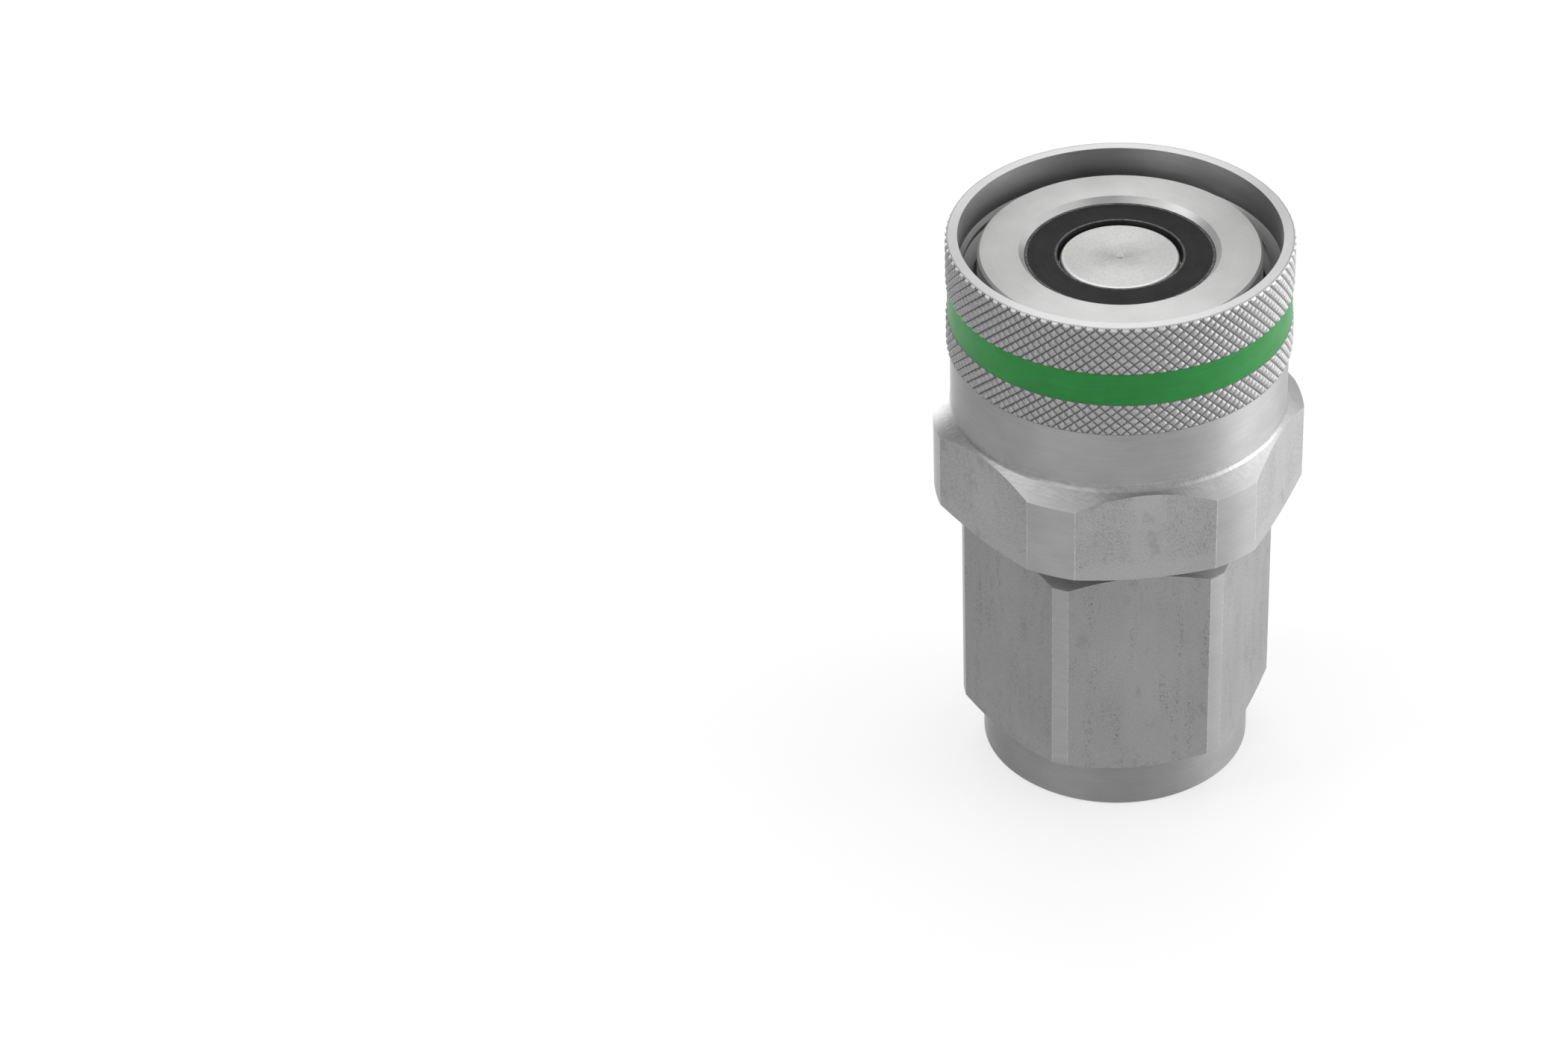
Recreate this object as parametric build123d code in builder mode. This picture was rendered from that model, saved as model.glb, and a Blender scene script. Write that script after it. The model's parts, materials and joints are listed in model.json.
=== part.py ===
# Screw-to-connect flat face coupling, socket half, standing on its foot.
# Millimetres, +Z up, the foot's face on Z = 0 and a hexagon flat facing -Y.
import os
from math import radians, tan

from build123d import *

# Clearances: a running fit, a seal's fit, a seat's play and a free gap.
running_gap = 0.08
seal_gap = 0.02
joint_gap = 0.05
free_gap = 0.3

# Stem: the centre disc of the flat face, its shank and its tail.
stem_head_radius = 8.55
stem_edge = 0.5
stem_cone = 6.0
stem_tail_radius = 3.5
stem_shank_step = 2.0
stem_tail_length = 2.2
pip_radius = 0.45
pip_height = 0.15

# Spider plate that holds the stem, with its flow holes.
spider_height = 4.8
spider_holes = 6
spider_hole_radius = 2.6
spider_web = 1.1
passage_edge = 0.7

# Seal sleeve round the stem's head, with a flat black ring in its face.
lip_gap = 0.48
sleeve_width = 4.57
sleeve_bore_step = 1.17
sleeve_lip_below = 3.0
flange_step = 1.44
flange_height = 4.0
sleeve_travel = 16.0
face_seal_depth = 1.3
inner_lip = 0.32
outer_lip = 0.35
lip_seal_depth = 1.97
lip_seal_cover = 1.5

# Front body: threaded tail, hub that carries the nut, and the inner tube.
tube_wall = 2.72
tail_wall = 1.8
hub_step = 1.05
hub_height = 6.5
chamber_rise = 5.6
tube_seal_rise = 3.0
tube_seal_depth = 1.62
tube_lip = 1.25
tube_edge = 0.4

# Front ring that closes the mouth round the sleeve, with its skirt.
ring_thickness = 5.5
ring_edge = 0.2
ring_travel = 10.0
ring_spare = 1.48
ring_inner_chamfer = 0.78
ring_outer_chamfer = 0.35
skirt_step = 1.0
skirt_wall = 1.2
skirt_lip = 2.0
skirt_spare = 1.6

# Rear body: round foot, hexagon for a 41 mm wrench and a collar under the nut.
foot_height = 7.1
foot_step = 0.65
foot_chamfer = 0.4
body_wall = 3.45
body_corner_rise = 2.5
body_hex_length = 36.0
hex_face_step = 0.6
collar_height = 1.8
collar_step = 0.47
corner_angle = 30.0

# Pipe port in the foot, three-quarter inch parallel pipe thread.
port_step = 1.56
port_depth = 16.5
port_chamfer = 1.4
passage_length = 3.0

# Union nut, with a hexagon for a 50 mm wrench.
flat_step = 0.56
nut_corner_rise = 2.0
nut_corner_height = 11.8
nut_corner_angle = 20.0
nut_face_step = 0.7
neck_wall = 1.84
neck_fillet = 0.8
shoulder_gap = 0.3
relief_length = 8.9

# Knurl bands, the colour band between them and the rim above them.
knurl_step = 0.18
low_knurl_height = 5.15
high_knurl_height = 7.05
band_height = 5.1
band_depth = 0.67
band_thickness = 0.8
rim_height = 0.6
rim_inset = 0.08
rim_width = 1.34

# Mouth of the nut and its inside thread, 45 mm by 3 mm pitch.
ring_set_back = 2.72
sleeve_set_back = 0.78
stem_set_back = 0.37
mouth_depth = 5.2
mouth_gap = 0.6
lead_in = 2.0
thread_depth = 1.6
thread_pitch = 3.0
thread_angle = 60.0

# Retaining rings, clips and seals.
wire_size = 1.7
wire_rise = 2.45
wire_opening = 12.0
clip_thickness = 1.2
clip_depth = 0.8
clip_reach = 0.9
clip_opening = 30.0
stem_clip_depth = 0.6
stem_clip_reach = 1.7
seal_height = 2.0
backup_height = 0.9
dust_seal_height = 1.0
dust_seal_rise = 0.7
dust_seal_depth = 1.47
body_seal_height = 2.4
body_seal_rise = 9.0
body_seal_depth = 1.35
washer_thickness = 1.0

# Springs of flat-sided wire.
ring_spring_wire = 1.3
ring_spring_height = 1.8
sleeve_spring_wire = 1.4
sleeve_spring_height = 1.9
sleeve_spring_inset = 1.2
spring_turns = 5.0

# Radii that follow, from the stem outwards.
sleeve_lip_radius = stem_head_radius + lip_gap
sleeve_radius = sleeve_lip_radius + sleeve_width
sleeve_bore = sleeve_lip_radius + sleeve_bore_step
lip_groove = sleeve_lip_radius + lip_seal_depth
tube_bore = sleeve_radius + running_gap
tube_radius = tube_bore + tube_wall
tube_groove = tube_bore + tube_seal_depth
flange_radius = sleeve_radius + flange_step + running_gap
chamber_radius = flange_radius + running_gap
tail_radius = chamber_radius + tail_wall
body_bore = tail_radius + joint_gap
hub_radius = tail_radius + hub_step
nut_bore = hub_radius + running_gap
skirt_lip_bore = tube_radius + running_gap
skirt_bore = tube_radius + skirt_step
skirt_radius = skirt_bore + skirt_wall
ring_spring_radius = skirt_radius + free_gap + ring_spring_wire / 2
ring_radius = skirt_radius + free_gap + ring_spring_wire + ring_edge
thread_minor = ring_radius + mouth_gap
thread_major = thread_minor + thread_depth
neck_radius = thread_major + neck_wall
nut_flats = 2 * (neck_radius + flat_step)
nut_turned = nut_flats / 2 + nut_corner_rise
nut_face_radius = nut_flats / 2 - nut_face_step
knurl_root = neck_radius + knurl_step
band_groove = knurl_root - band_depth
band_radius = band_groove + band_thickness
rim_radius = knurl_root - rim_inset
mouth_radius = rim_radius - rim_width
collar_radius = nut_bore + collar_step
body_flats = 2 * (body_bore + body_wall)
body_turned = body_flats / 2 + body_corner_rise
foot_radius = body_flats / 2 - foot_step
hex_face_radius = collar_radius + hex_face_step
body_groove = body_bore + body_seal_depth
spider_hole_circle = stem_tail_radius + spider_web + spider_hole_radius
passage_radius = spider_hole_circle + spider_hole_radius + passage_edge
port_radius = passage_radius + port_step
sleeve_spring_radius = chamber_radius - sleeve_spring_inset - sleeve_spring_wire / 2
stem_shank_radius = stem_tail_radius + stem_shank_step

# Heights that follow, from the foot up.
corner_slope = tan(radians(corner_angle))
nut_corner_slope = tan(radians(nut_corner_angle))
floor_level = port_depth + passage_length
spider_top = floor_level + spider_height
body_seal_low = spider_top + body_seal_rise
body_hex_top = foot_height + body_hex_length
collar_top = body_hex_top + collar_height
nut_bottom = collar_top + free_gap
dust_seal_low = nut_bottom + dust_seal_rise
hub_top = collar_top + hub_height
wire_low = collar_top + wire_rise
shoulder_top = hub_top - shoulder_gap
washer_top = hub_top + washer_thickness
chamber_top = hub_top + chamber_rise
flange_top = chamber_top - joint_gap
flange_bottom = flange_top - flange_height
tube_seal_low = chamber_top + tube_seal_rise
thread_start = shoulder_top + relief_length
skirt_bottom = washer_top + ring_travel + skirt_spare
lip_top = skirt_bottom + skirt_lip
clip_low = lip_top + joint_gap
tube_top = clip_low + clip_thickness + tube_lip
ring_bottom = tube_top + ring_travel + ring_spare
ring_top = ring_bottom + ring_thickness
rim_top = ring_top + ring_set_back
sleeve_top = ring_top - sleeve_set_back
stem_top = sleeve_top - stem_set_back
lip_seal_low = sleeve_top - face_seal_depth - lip_seal_cover - seal_height - backup_height
stem_head_low = lip_seal_low - stem_edge * 2
mouth_floor = rim_top - mouth_depth
rim_low = rim_top - rim_height
band_top = rim_low - high_knurl_height
band_low = band_top - band_height
neck_top = band_low - low_knurl_height
nut_corner_low = nut_bottom + (nut_turned - nut_face_radius) * nut_corner_slope
nut_corner_high = nut_corner_low + nut_corner_height
neck_foot = nut_corner_high + nut_turned - neck_radius


def turned(points):
    # A solid of revolution from half of its section, given as (radius, height) corners.
    with BuildPart() as blank:
        with BuildSketch(Plane.XZ):
            with BuildLine():
                Polyline(*points, close=True)
            make_face()
        revolve(axis=Axis.Z)
    return blank.part


def round_band(inner, outer, low, high):
    # A plain ring between two radii and two heights.
    return turned([(inner, low), (outer, low), (outer, high), (inner, high)])


def split_band(inner, outer, low, high, opening):
    # The same ring with a gap of so many degrees in its front.
    with BuildPart() as band:
        with BuildSketch(Plane.XZ):
            with BuildLine():
                Polyline((inner, low), (outer, low), (outer, high), (inner, high), close=True)
            make_face()
        revolve(axis=Axis.Z, revolution_arc=360 - opening)
    return band.part.rotate(Axis.Z, 270 + opening / 2)


def hexagon_bar(flats, low, high):
    # A hexagonal bar with one flat facing -Y and one facing +Y.
    with BuildPart() as bar:
        with BuildSketch(Plane.XY.offset(low)):
            RegularPolygon(flats / 2, 6, major_radius=False)
        extrude(amount=high - low)
    return bar.part


def coil(radius, wire, height, low, high):
    # A compression spring of flat-sided wire between two heights.
    rise = high - low - height
    with BuildPart() as spring:
        with BuildLine() as path:
            Helix(pitch=rise / spring_turns, height=rise, radius=radius)
        start = Plane(origin=path.line @ 0, x_dir=(1, 0, 0), z_dir=path.line % 0)
        with BuildSketch(start):
            Rectangle(wire, height)
        sweep(is_frenet=True)
    return spring.part.moved(Location((0, 0, low + height / 2)))


def thread_groove():
    # The helical groove of the nut's inside thread, with a flat root and sloping flanks.
    flank = thread_depth * tan(radians(thread_angle / 2))
    root = thread_pitch / 8
    overlap = thread_depth / 5
    with BuildPart() as groove:
        with BuildLine() as path:
            Helix(pitch=thread_pitch, height=mouth_floor - thread_start, radius=thread_minor)
        start = Plane(origin=path.line @ 0, x_dir=(1, 0, 0), z_dir=path.line % 0)
        with BuildSketch(start):
            with BuildLine():
                Polyline(
                    (-overlap, -root - flank),
                    (0, -root - flank),
                    (thread_depth, -root),
                    (thread_depth, root),
                    (0, root + flank),
                    (-overlap, root + flank),
                    close=True,
                )
            make_face()
        sweep(is_frenet=True)
    return groove.part.moved(Location((0, 0, thread_start)))


def make_rear_body():
    low_cone = foot_height + (body_turned - foot_radius) * corner_slope
    high_cone = body_hex_top - (body_turned - hex_face_radius) * corner_slope
    with BuildPart() as rear_body:
        add(
            turned(
                [
                    (0, foot_height),
                    (foot_radius, foot_height),
                    (body_turned, low_cone),
                    (body_turned, high_cone),
                    (hex_face_radius, body_hex_top),
                    (0, body_hex_top),
                ]
            )
        )
        add(hexagon_bar(body_flats, foot_height, body_hex_top), mode=Mode.INTERSECT)
        with BuildSketch():
            Circle(foot_radius)
        extrude(amount=foot_height)
        chamfer(rear_body.faces().sort_by(Axis.Z)[0].edges(), foot_chamfer)
        with BuildSketch(Plane.XY.offset(body_hex_top)):
            Circle(collar_radius)
        extrude(amount=collar_height)
        add(rear_body_bores(), mode=Mode.SUBTRACT)
    return rear_body.part


def rear_body_bores():
    # Port with its chamfer, passage, bore for the front body's tail, and the seal's groove.
    return turned(
        [
            (0, 0),
            (port_radius + port_chamfer, 0),
            (port_radius, port_chamfer),
            (port_radius, port_depth),
            (passage_radius, port_depth),
            (passage_radius, floor_level),
            (body_bore, floor_level),
            (body_bore, body_seal_low),
            (body_groove, body_seal_low),
            (body_groove, body_seal_low + body_seal_height),
            (body_bore, body_seal_low + body_seal_height),
            (body_bore, collar_top),
            (0, collar_top),
        ]
    )


def make_front_body():
    seals_top = tube_seal_low + seal_height + backup_height
    wire_floor = hub_radius - wire_size / 2
    clip_floor = tube_radius - clip_depth
    return turned(
        [
            (chamber_radius, spider_top),
            (tail_radius, spider_top),
            (tail_radius, collar_top),
            (hub_radius, collar_top),
            (hub_radius, wire_low),
            (wire_floor, wire_low),
            (wire_floor, wire_low + wire_size),
            (hub_radius, wire_low + wire_size),
            (hub_radius, hub_top),
            (tube_radius, hub_top),
            (tube_radius, clip_low),
            (clip_floor, clip_low),
            (clip_floor, clip_low + clip_thickness),
            (tube_radius, clip_low + clip_thickness),
            (tube_radius, tube_top - tube_edge),
            (tube_radius - tube_edge, tube_top),
            (tube_bore, tube_top),
            (tube_bore, seals_top),
            (tube_groove, seals_top),
            (tube_groove, tube_seal_low),
            (tube_bore, tube_seal_low),
            (tube_bore, chamber_top),
            (chamber_radius, chamber_top),
        ]
    )


def make_stem_spider():
    with BuildPart() as spider:
        with BuildSketch(Plane.XY.offset(floor_level)):
            Circle(tail_radius)
            Circle(stem_tail_radius, mode=Mode.SUBTRACT)
            with PolarLocations(spider_hole_circle, spider_holes):
                Circle(spider_hole_radius, mode=Mode.SUBTRACT)
        extrude(amount=spider_height)
    return spider.part


def make_stem():
    clip_floor = stem_tail_radius - stem_clip_depth
    with BuildPart() as stem:
        add(
            turned(
                [
                    (0, floor_level - stem_tail_length),
                    (stem_tail_radius, floor_level - stem_tail_length),
                    (stem_tail_radius, floor_level - clip_thickness),
                    (clip_floor, floor_level - clip_thickness),
                    (clip_floor, floor_level),
                    (stem_tail_radius, floor_level),
                    (stem_tail_radius, spider_top),
                    (stem_shank_radius, spider_top),
                    (stem_shank_radius, stem_head_low - stem_cone),
                    (stem_head_radius, stem_head_low),
                    (stem_head_radius, stem_top),
                    (0, stem_top),
                ]
            )
        )
        fillet(stem.edges().filter_by(GeomType.CIRCLE).sort_by(Axis.Z)[-1], stem_edge)
        with BuildSketch(Plane.XY.offset(stem_top)):
            Circle(pip_radius)
        extrude(amount=pip_height)
    return stem.part


def make_seal_sleeve():
    seals_top = lip_seal_low + seal_height + backup_height
    lip_bottom = lip_seal_low - sleeve_lip_below
    seal_floor = sleeve_top - face_seal_depth
    return turned(
        [
            (sleeve_bore, flange_bottom),
            (flange_radius, flange_bottom),
            (flange_radius, flange_top),
            (sleeve_radius, flange_top),
            (sleeve_radius, sleeve_top),
            (sleeve_radius - outer_lip, sleeve_top),
            (sleeve_radius - outer_lip, seal_floor),
            (sleeve_lip_radius + inner_lip, seal_floor),
            (sleeve_lip_radius + inner_lip, sleeve_top),
            (sleeve_lip_radius, sleeve_top),
            (sleeve_lip_radius, seals_top),
            (lip_groove, seals_top),
            (lip_groove, lip_seal_low),
            (sleeve_lip_radius, lip_seal_low),
            (sleeve_lip_radius, lip_bottom),
            (sleeve_bore, lip_bottom - sleeve_bore_step),
        ]
    )


def make_front_ring():
    return turned(
        [
            (tube_bore, ring_bottom),
            (skirt_bore, ring_bottom),
            (skirt_bore, lip_top),
            (skirt_lip_bore, lip_top),
            (skirt_lip_bore, skirt_bottom),
            (skirt_radius, skirt_bottom),
            (skirt_radius, ring_bottom),
            (ring_radius, ring_bottom),
            (ring_radius, ring_top - ring_outer_chamfer),
            (ring_radius - ring_outer_chamfer, ring_top),
            (tube_bore + ring_inner_chamfer, ring_top),
            (tube_bore, ring_top - ring_inner_chamfer),
        ]
    )


def make_union_nut():
    with BuildPart() as union_nut:
        add(
            turned(
                [
                    (0, nut_bottom),
                    (nut_face_radius, nut_bottom),
                    (nut_turned, nut_corner_low),
                    (nut_turned, nut_corner_high),
                    (neck_radius, neck_foot),
                    (0, neck_foot),
                ]
            )
        )
        add(hexagon_bar(nut_flats, nut_bottom, neck_foot), mode=Mode.INTERSECT)
        add(nut_sleeve())
        foot_edge = union_nut.edges().filter_by(GeomType.CIRCLE).filter_by_position(
            Axis.Z, neck_foot - joint_gap, neck_foot + joint_gap
        )
        fillet(foot_edge, neck_fillet)
        add(nut_bores(), mode=Mode.SUBTRACT)
        add(thread_groove(), mode=Mode.SUBTRACT)
    return union_nut.part


def nut_sleeve():
    # Neck, knurl bands at the depth of their grooves, colour band's groove and rim.
    return turned(
        [
            (0, neck_foot),
            (neck_radius, neck_foot),
            (neck_radius, neck_top),
            (knurl_root, neck_top),
            (knurl_root, band_low),
            (band_groove, band_low),
            (band_groove, band_top),
            (knurl_root, band_top),
            (knurl_root, rim_low),
            (rim_radius, rim_top),
            (0, rim_top),
        ]
    )


def nut_bores():
    # Everything bored out of the nut except the thread's groove.
    wire_reach = hub_radius + wire_size / 2 + running_gap
    return turned(
        [
            (0, nut_bottom),
            (nut_bore, nut_bottom),
            (nut_bore, dust_seal_low),
            (hub_radius + dust_seal_depth, dust_seal_low),
            (hub_radius + dust_seal_depth, dust_seal_low + dust_seal_height),
            (nut_bore, dust_seal_low + dust_seal_height),
            (nut_bore, wire_low - running_gap),
            (wire_reach, wire_low - running_gap),
            (wire_reach, wire_low + wire_size + running_gap),
            (nut_bore, wire_low + wire_size + running_gap),
            (nut_bore, shoulder_top),
            (thread_major, shoulder_top),
            (thread_major, thread_start - thread_depth),
            (thread_minor, thread_start),
            (thread_minor, mouth_floor - lead_in),
            (mouth_radius, mouth_floor),
            (mouth_radius, rim_top),
            (0, rim_top),
        ]
    )


def save(solid, name):
    solid.label = name
    export_step(solid, "parts/" + name + ".step")


def save_fixed_rings():
    seal_top = body_seal_low + body_seal_height
    save(round_band(tail_radius, body_groove, body_seal_low, seal_top), "body_seal")
    seal_top = tube_seal_low + seal_height
    backup_top = seal_top + backup_height
    save(round_band(sleeve_radius + seal_gap, tube_groove, tube_seal_low, seal_top), "tube_seal")
    save(round_band(sleeve_radius + joint_gap, tube_groove, seal_top, backup_top), "tube_backup_ring")
    washer_outer = ring_radius - ring_edge / 2
    save(round_band(tube_radius, washer_outer, hub_top, washer_top), "spring_washer")


def save_fixed_clips():
    inner = stem_tail_radius - stem_clip_depth
    outer = stem_tail_radius + stem_clip_reach
    low = floor_level - clip_thickness
    save(split_band(inner, outer, low, floor_level, clip_opening), "stem_clip")
    inner = hub_radius - wire_size / 2
    outer = hub_radius + wire_size / 2
    save(split_band(inner, outer, wire_low, wire_low + wire_size, wire_opening), "nut_wire_ring")
    inner = tube_radius - clip_depth
    outer = tube_radius + clip_reach
    save(split_band(inner, outer, clip_low, clip_low + clip_thickness, clip_opening), "front_ring_clip")


def save_springs():
    ring_spring = coil(ring_spring_radius, ring_spring_wire, ring_spring_height, washer_top, ring_bottom)
    save(ring_spring, "front_ring_spring")
    low = spider_top
    sleeve_spring = coil(sleeve_spring_radius, sleeve_spring_wire, sleeve_spring_height, low, flange_bottom)
    save(sleeve_spring, "sleeve_spring")


def save_nut_pieces():
    dust_outer = hub_radius + dust_seal_depth
    dust_seal_top = dust_seal_low + dust_seal_height
    save(make_union_nut(), "union_nut")
    save(round_band(band_groove, band_radius, band_low, band_top), "colour_band")
    save(round_band(hub_radius + seal_gap, dust_outer, dust_seal_low, dust_seal_top), "nut_dust_seal")


def save_sleeve_pieces():
    seal_floor = sleeve_top - face_seal_depth
    face_inner = sleeve_lip_radius + inner_lip
    seal_top = lip_seal_low + seal_height
    backup_top = seal_top + backup_height
    save(make_seal_sleeve(), "seal_sleeve")
    save(round_band(face_inner, sleeve_radius - outer_lip, seal_floor, sleeve_top), "face_seal")
    save(round_band(stem_head_radius + seal_gap, lip_groove, lip_seal_low, seal_top), "sleeve_seal")
    save(round_band(stem_head_radius + joint_gap, lip_groove, seal_top, backup_top), "sleeve_backup_ring")


os.makedirs("parts", exist_ok=True)
save(make_rear_body(), "rear_body")
save(make_front_body(), "front_body")
save(make_stem_spider(), "stem_spider")
save(make_stem(), "stem")
save_fixed_rings()
save_fixed_clips()
save_springs()
save_nut_pieces()
save(make_front_ring(), "front_ring")
save_sleeve_pieces()
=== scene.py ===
"""Finish and light the flat face coupling: knurled bands, steel finishes, seals and studio."""
import json
from math import pi, radians, sqrt

import bmesh
import bpy
from mathutils import Matrix, Vector


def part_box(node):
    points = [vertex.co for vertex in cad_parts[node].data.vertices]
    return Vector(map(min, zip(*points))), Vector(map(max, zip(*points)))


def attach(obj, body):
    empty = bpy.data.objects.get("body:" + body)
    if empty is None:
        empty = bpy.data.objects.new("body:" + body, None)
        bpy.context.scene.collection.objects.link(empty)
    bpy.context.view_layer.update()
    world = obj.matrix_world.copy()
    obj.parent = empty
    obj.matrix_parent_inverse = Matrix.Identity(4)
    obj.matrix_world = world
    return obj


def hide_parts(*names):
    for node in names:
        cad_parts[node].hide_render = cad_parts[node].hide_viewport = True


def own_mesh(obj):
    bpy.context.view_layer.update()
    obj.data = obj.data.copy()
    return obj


bl_info = {
    "name": "Flat Face Coupling",
    "version": (1, 0, 0),
    "blender": (4, 5, 0),
    "location": "View3D > Sidebar > Coupling",
    "description": "Adds the knurling, the finishes and the studio to the packed coupling",
    "category": "Object",
}

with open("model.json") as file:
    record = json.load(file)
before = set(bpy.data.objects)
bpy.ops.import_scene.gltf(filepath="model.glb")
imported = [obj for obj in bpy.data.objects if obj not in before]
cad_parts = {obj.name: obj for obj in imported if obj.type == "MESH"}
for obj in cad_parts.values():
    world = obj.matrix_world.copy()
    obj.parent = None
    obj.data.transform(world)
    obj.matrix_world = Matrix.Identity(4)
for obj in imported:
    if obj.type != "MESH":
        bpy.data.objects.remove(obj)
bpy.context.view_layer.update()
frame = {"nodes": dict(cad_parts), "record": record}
MM = 0.001

# Levels, half widths across flats and radii of corners and rims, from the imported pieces.
NUT_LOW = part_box("union_nut")[0].z
NUT_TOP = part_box("union_nut")[1].z
NUT_HALF_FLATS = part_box("union_nut")[1].y
NUT_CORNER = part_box("union_nut")[1].x
BODY_HALF_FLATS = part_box("rear_body")[1].y
BODY_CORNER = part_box("rear_body")[1].x
BAND_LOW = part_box("colour_band")[0].z
BAND_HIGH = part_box("colour_band")[1].z
SLEEVE_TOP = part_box("seal_sleeve")[1].z
DISC_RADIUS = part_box("stem")[1].x

# Levels that no box gives: the cones over the hexagons, and the body's hexagon over its foot.
NUT_CONE = (NUT_LOW + 13.8 * MM, NUT_LOW + 16.4 * MM)
BODY_CONE = (41 * MM, 44 * MM)
BODY_HEXAGON_LOW = 8 * MM


def linear(code):
    """Turn an sRGB hex colour such as #A0B0C0 into linear red, green and blue."""
    shares = [int(code[i:i + 2], 16) / 255 for i in (1, 3, 5)]
    return tuple(s / 12.92 if s <= 0.04045 else ((s + 0.055) / 1.055) ** 2.4 for s in shares)


def node(tree, kind, inputs=(), **settings):
    """Add one node, set its options, and fill or link its inputs.

    The inputs come in order or as {input: value}. A node given as a value stands for its first
    output, and a list is linked into one input that takes several.
    """
    added = tree.nodes.new(kind)
    for name, value in settings.items():
        setattr(added, name, value)
    for name, value in inputs.items() if isinstance(inputs, dict) else enumerate(inputs):
        for item in value if isinstance(value, list) else (value,):
            if isinstance(item, bpy.types.Node):
                item = item.outputs[0]
            if isinstance(item, bpy.types.NodeSocket):
                tree.links.new(item, added.inputs[name])
            else:
                added.inputs[name].default_value = item
    return added


# ---------------------------------------------------------------- settings


class KnurlSizes(bpy.types.PropertyGroup):
    """Sizes of the diamond knurling on the nut."""

    diamond: bpy.props.FloatProperty(
        name="Diamond width", description="Width of one diamond round the nut",
        default=1.69 * MM, unit="LENGTH", precision=5)
    root_radius: bpy.props.FloatProperty(
        name="Root radius", description="Radius at the bottom of the knurl's grooves",
        default=24.70 * MM, unit="LENGTH", precision=5)
    crest: bpy.props.FloatProperty(
        name="Crest height", description="Height of the diamonds over their grooves",
        default=0.29 * MM, unit="LENGTH", precision=5)
    seat_radius: bpy.props.FloatProperty(
        name="Seat radius", description="Inner radius of the knurled shells, sunk in the nut",
        default=24.40 * MM, unit="LENGTH", precision=5)
    low_band_height: bpy.props.FloatProperty(
        name="Lower band height", description="Height of the knurl under the colour band",
        default=5.15 * MM, unit="LENGTH", precision=5)
    rim_land: bpy.props.FloatProperty(
        name="Rim land", description="Plain height between the upper knurl and the rim's face",
        default=0.02 * MM, unit="LENGTH", precision=5)
    low_rows: bpy.props.FloatProperty(
        name="Lower rows", description="Rows of diamonds under the colour band, in quarters",
        default=3.25, min=1)
    high_rows: bpy.props.FloatProperty(
        name="Upper rows", description="Rows of diamonds over the colour band, in quarters",
        default=4.75, min=1)
    lean: bpy.props.FloatProperty(
        name="Lean", description="Diamonds that the pattern shifts round the nut for each row up",
        default=0.078)


class FinishColours(bpy.types.PropertyGroup):
    """Colours of the coupling's finishes."""

    plated: bpy.props.FloatVectorProperty(
        name="Zinc plating", description="Grey of the plated nut",
        subtype="COLOR", size=3, min=0, max=1, default=linear("#9F9F9F"))
    # Painted shade: the body's grey is set darker than the nut's to stand in for the dimmer
    # reflections it gets low down near the floor.
    body: bpy.props.FloatVectorProperty(
        name="Body plating", description="Grey of the plated body, a little duller than the nut",
        subtype="COLOR", size=3, min=0, max=1, default=linear("#929292"))
    knurled: bpy.props.FloatVectorProperty(
        name="Knurled plating", description="Grey of the knurling, whose crests are brighter",
        subtype="COLOR", size=3, min=0, max=1, default=linear("#A2A2A2"))
    turned: bpy.props.FloatVectorProperty(
        name="Turned steel", description="Grey of the bright front ring and centre disc",
        subtype="COLOR", size=3, min=0, max=1, default=linear("#A8A8A7"))
    blackened: bpy.props.FloatVectorProperty(
        name="Blackened steel", description="Near-black of the sealing sleeve",
        subtype="COLOR", size=3, min=0, max=1, default=linear("#3A3A3B"))
    seal_black: bpy.props.FloatVectorProperty(
        name="Seal black", description="Black of the face ring and the rubber seals",
        subtype="COLOR", size=3, min=0, max=1, default=linear("#161617"))
    band_green: bpy.props.FloatVectorProperty(
        name="Band green", description="Green of the plastic colour band",
        subtype="COLOR", size=3, min=0, max=1, default=linear("#12702B"))


class StudioSettings(bpy.types.PropertyGroup):
    """Camera, lamps and floor."""

    lens: bpy.props.FloatProperty(
        name="Lens", description="Focal length on a 36 mm sensor", default=114.52, unit="CAMERA")
    ambient: bpy.props.FloatProperty(
        name="Ambient", description="Strength of the plain light from all round", default=0.45)
    key_power: bpy.props.FloatProperty(
        name="Key", description="Share of full power of the softboxes at the right", default=1.0)
    top_power: bpy.props.FloatProperty(
        name="Top", description="Share of full power of the softboxes above and behind",
        default=1.0)
    fill_power: bpy.props.FloatProperty(
        name="Fill", description="Share of full power of the softboxes at the left and in front",
        default=1.0)
    floor_colour: bpy.props.FloatVectorProperty(
        name="Floor", description="Colour of the paper floor",
        subtype="COLOR", size=3, min=0, max=1, default=linear("#F2F2F2"))


# ---------------------------------------------------------------- knurling

CELL_FACES = 6  # faces along each side of a diamond
DOME_POWER = 2.8  # the higher it is, the blunter the diamonds and the narrower their grooves
BEVEL = 1.0  # slope of a band's end at 45 degrees
UPRIGHT = 50.0  # slope of a band's end that stands against the colour band
CREASE = radians(50)  # edges that bend more than this stay sharp
SLACK = 0.01  # reach of the strip's cuts and joins, in diamonds
WELD = 0.002 * MM  # points closer than this become one


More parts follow.
